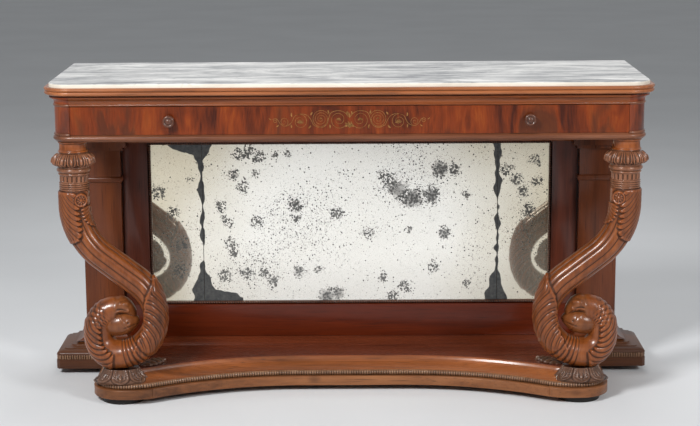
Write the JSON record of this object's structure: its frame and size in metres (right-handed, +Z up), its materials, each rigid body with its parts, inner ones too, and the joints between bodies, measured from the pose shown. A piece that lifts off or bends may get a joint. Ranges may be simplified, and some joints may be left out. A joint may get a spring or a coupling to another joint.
{
  "type": "pier table",
  "caption": "Pier table with a marble top, a frieze drawer, carved scroll supports on a hollow-fronted base and a mirrored back.",
  "frame": {"origin": "on the floor under the middle of the bounding box", "axes": "+X to the right along the length, +Y to the back, +Z up; the drawer opens to the front, -Y"},
  "size_m": [1.806, 0.544, 0.935],
  "materials": {
    "marble": "polished, grey streaks",
    "polished_wood": "french polished",
    "figured_veneer": "french polished, flame figure",
    "carved_wood": "waxed carving",
    "base_wood": "polished, worn",
    "secondary_wood": "unpolished",
    "ebonised_wood": "dark stained",
    "brass": "worn",
    "mirror": "old silvering with dark spots",
    "iron": "plain"
  },
  "bodies": {
    "carcass": {"backboard": "secondary_wood", "backboard_screws": "iron", "base_battens": "secondary_wood", "base_board": "base_wood", "centre_mirror_plate": "mirror", "drawer_guides": "secondary_wood", "drawer_runners": "secondary_wood", "frieze_back_rail": "secondary_wood", "front_cornice": "polished_wood", "front_fascia": "base_wood", "left_bird_head": "carved_wood", "left_corner_column": "figured_veneer", "left_cornice": "polished_wood", "left_foot_block": "base_wood", "left_frieze_side": "figured_veneer", "left_leaf_boss": "carved_wood", "left_leaf_collar": "carved_wood", "left_leg_bell": "carved_wood", "left_leg_spool": "carved_wood", "left_mirror_plate": "mirror", "left_mirror_stile": "polished_wood", "left_pilaster": "polished_wood", "left_pilaster_mouldings": "polished_wood", "left_plinth_block": "base_wood", "left_scroll_leg": "carved_wood", "leg_dowels": "secondary_wood", "lower_front_rail": "polished_wood", "marble_top": "marble", "mirror_bottom_rail": "polished_wood", "mirror_slips": "polished_wood", "mirror_top_rail": "polished_wood", "pad_feet": "ebonised_wood", "plinth_back_rail": "secondary_wood", "plinth_board": "base_wood", "ribbed_bead": "base_wood", "right_bird_head": "carved_wood", "right_corner_column": "figured_veneer", "right_cornice": "polished_wood", "right_foot_block": "base_wood", "right_frieze_side": "figured_veneer", "right_leaf_boss": "carved_wood", "right_leaf_collar": "carved_wood", "right_leg_bell": "carved_wood", "right_leg_spool": "carved_wood", "right_mirror_plate": "mirror", "right_mirror_stile": "polished_wood", "right_pilaster": "polished_wood", "right_pilaster_mouldings": "polished_wood", "right_plinth_block": "base_wood", "right_scroll_leg": "carved_wood", "top_board": "secondary_wood", "upper_front_rail": "polished_wood"},
    "drawer": {"brass_inlay": "brass", "drawer_back": "secondary_wood", "drawer_bottom": "secondary_wood", "drawer_front": "figured_veneer", "left_drawer_side": "secondary_wood", "left_knob": "carved_wood", "right_drawer_side": "secondary_wood", "right_knob": "carved_wood"}
  },
  "joints": [
    {"name": "drawer_slide", "type": "slide", "parent": "carcass", "child": "drawer", "axis": [0, -1, 0], "range_m": [0, 0.3]}
  ]
}
